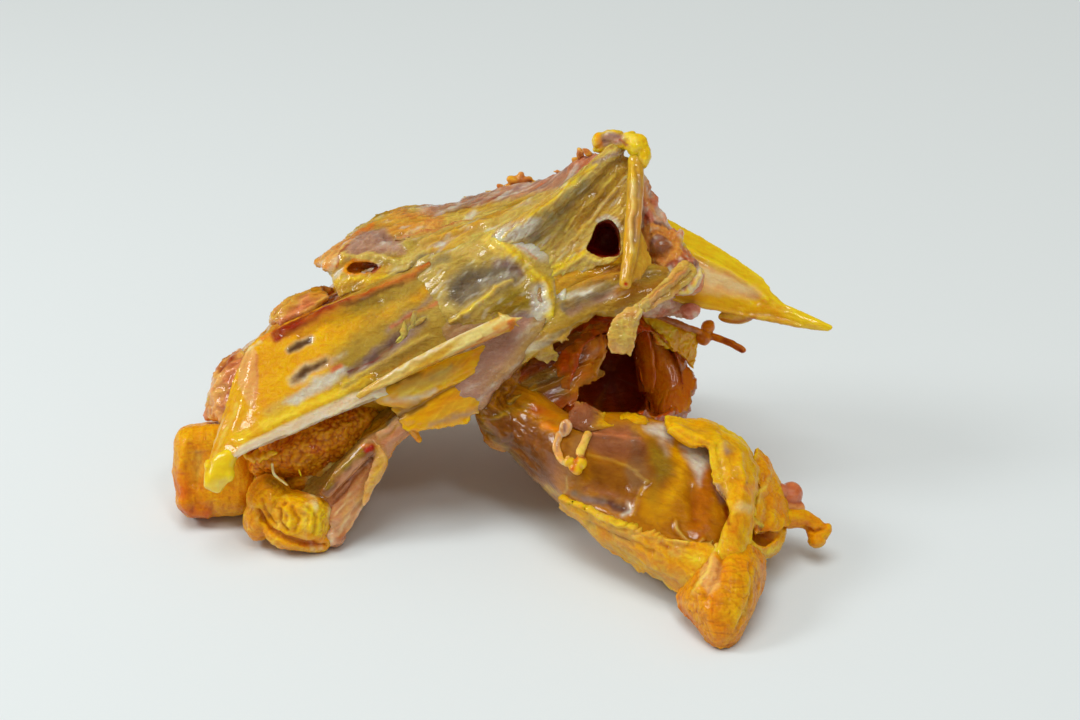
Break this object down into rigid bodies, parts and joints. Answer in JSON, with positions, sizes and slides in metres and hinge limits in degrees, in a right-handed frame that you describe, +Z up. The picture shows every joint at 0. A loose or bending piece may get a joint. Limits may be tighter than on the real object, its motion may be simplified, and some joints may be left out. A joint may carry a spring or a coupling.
{
  "type": "raw chicken carcass",
  "caption": "Raw chicken carcass picked of its breast, legs and wings, folded like a tent: breastbone and rib cage on top, pelvis and tail below, with flaps of yellow skin.",
  "frame": {"origin": "on the table, under the middle of the carcass", "axes": "+X towards the yellow tip of cartilage on the right, the longest way across; +Y away from the viewer; +Z up"},
  "size_m": [0.2162, 0.1581, 0.1206],
  "materials": {
    "carcass": "wet"
  },
  "bodies": {
    "root": {"carcass": "carcass"}
  },
  "joints": []
}
